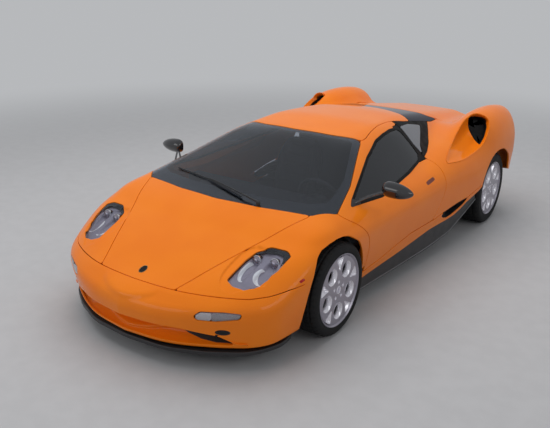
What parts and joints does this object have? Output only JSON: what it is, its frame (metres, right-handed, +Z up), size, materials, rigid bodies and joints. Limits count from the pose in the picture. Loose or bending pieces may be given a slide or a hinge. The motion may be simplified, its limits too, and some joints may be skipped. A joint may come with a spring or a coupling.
{
  "type": "mid-engined supercar",
  "caption": "Low wedge-shaped two-seat sports car with scissor doors, hinged bonnet and engine lid, steered front wheels and free-turning road wheels.",
  "frame": {"origin": "on the ground, below the middle of the car's overall box", "axes": "+Z up, nose towards -Y, the car's left side towards +X"},
  "size_m": [2.256, 4.4607, 1.1056],
  "materials": {
    "paint": "gloss, clear coated",
    "dark_glass": "tinted",
    "black_trim": "satin",
    "grille": "matt",
    "headlamp": "clear cover over silver",
    "indicator": "clear, ribbed",
    "tail_lamp": "red lens",
    "exhaust": "polished",
    "casting": "as cast",
    "dash": "grained",
    "seat": "soft grain",
    "tyre": "rubber",
    "rim": "silver lacquer"
  },
  "bodies": {
    "chassis": {"roof": "paint", "front_bumper": "paint", "fenders": "paint", "sills": "paint", "rear_quarters": "paint", "rear_bumper": "paint", "windscreen": "dark_glass", "rear_band": "dark_glass", "quarter_windows": "dark_glass", "front_splitter": "black_trim", "side_skirts": "black_trim", "diffuser": "black_trim", "arch_liners": "black_trim", "floor_pan": "black_trim", "front_bay": "black_trim", "bulkheads": "black_trim", "rear_grille": "grille", "headlamps": "headlamp", "indicators": "indicator", "tail_lamps": "tail_lamp", "exhausts": "exhaust", "engine": "casting", "suspension": "casting", "dashboard": "dash", "steering_wheel": "dash", "seat_bases": "seat", "seat_backs": "seat"},
    "bonnet": {"bonnet": "paint"},
    "engine_lid": {"engine_lid": "paint"},
    "door_left": {"door_left": "paint", "door_glass_left": "dark_glass", "mirror_left": "black_trim"},
    "door_right": {"door_right": "paint", "door_glass_right": "dark_glass", "mirror_right": "black_trim"},
    "knuckle_left": {"knuckle_left": "casting"},
    "knuckle_right": {"knuckle_right": "casting"},
    "wheel_front_left": {"tyre_front_left": "tyre", "rim_front_left": "rim"},
    "wheel_front_right": {"tyre_front_right": "tyre", "rim_front_right": "rim"},
    "wheel_rear_left": {"tyre_rear_left": "tyre", "rim_rear_left": "rim"},
    "wheel_rear_right": {"tyre_rear_right": "tyre", "rim_rear_right": "rim"}
  },
  "joints": [
    {"name": "bonnet_hinge", "type": "hinge", "parent": "chassis", "child": "bonnet", "pos_m": [0, -1.15, 0.765], "axis": [-1, 0, 0], "range_deg": [0, 55]},
    {"name": "engine_lid_hinge", "type": "hinge", "parent": "chassis", "child": "engine_lid", "pos_m": [0, 1.09, 0.995], "axis": [1, 0, 0], "range_deg": [0, 45]},
    {"name": "door_left_hinge", "type": "hinge", "parent": "chassis", "child": "door_left", "pos_m": [0.85, -1.12, 0.79], "axis": [1, 0, 0], "range_deg": [0, 65]},
    {"name": "door_right_hinge", "type": "hinge", "parent": "chassis", "child": "door_right", "pos_m": [-0.85, -1.12, 0.79], "axis": [1, 0, 0], "range_deg": [0, 65]},
    {"name": "steer_left", "type": "hinge", "parent": "chassis", "child": "knuckle_left", "pos_m": [0.8, -1.205, 0.311], "axis": [0, 0, 1], "range_deg": [-32, 32]},
    {"name": "steer_right", "type": "hinge", "parent": "chassis", "child": "knuckle_right", "pos_m": [-0.8, -1.205, 0.311], "axis": [0, 0, 1], "range_deg": [-32, 32]},
    {"name": "spin_front_left", "type": "hinge", "parent": "knuckle_left", "child": "wheel_front_left", "pos_m": [0.8125, -1.205, 0.311], "axis": [1, 0, 0], "continuous": true},
    {"name": "spin_front_right", "type": "hinge", "parent": "knuckle_right", "child": "wheel_front_right", "pos_m": [-0.8125, -1.205, 0.311], "axis": [1, 0, 0], "continuous": true},
    {"name": "spin_rear_left", "type": "hinge", "parent": "chassis", "child": "wheel_rear_left", "pos_m": [0.8175, 1.445, 0.329], "axis": [1, 0, 0], "continuous": true},
    {"name": "spin_rear_right", "type": "hinge", "parent": "chassis", "child": "wheel_rear_right", "pos_m": [-0.8175, 1.445, 0.329], "axis": [1, 0, 0], "continuous": true}
  ],
  "couplings": [
    {"joint": "steer_right", "follows": "steer_left", "ratio": 1}
  ]
}
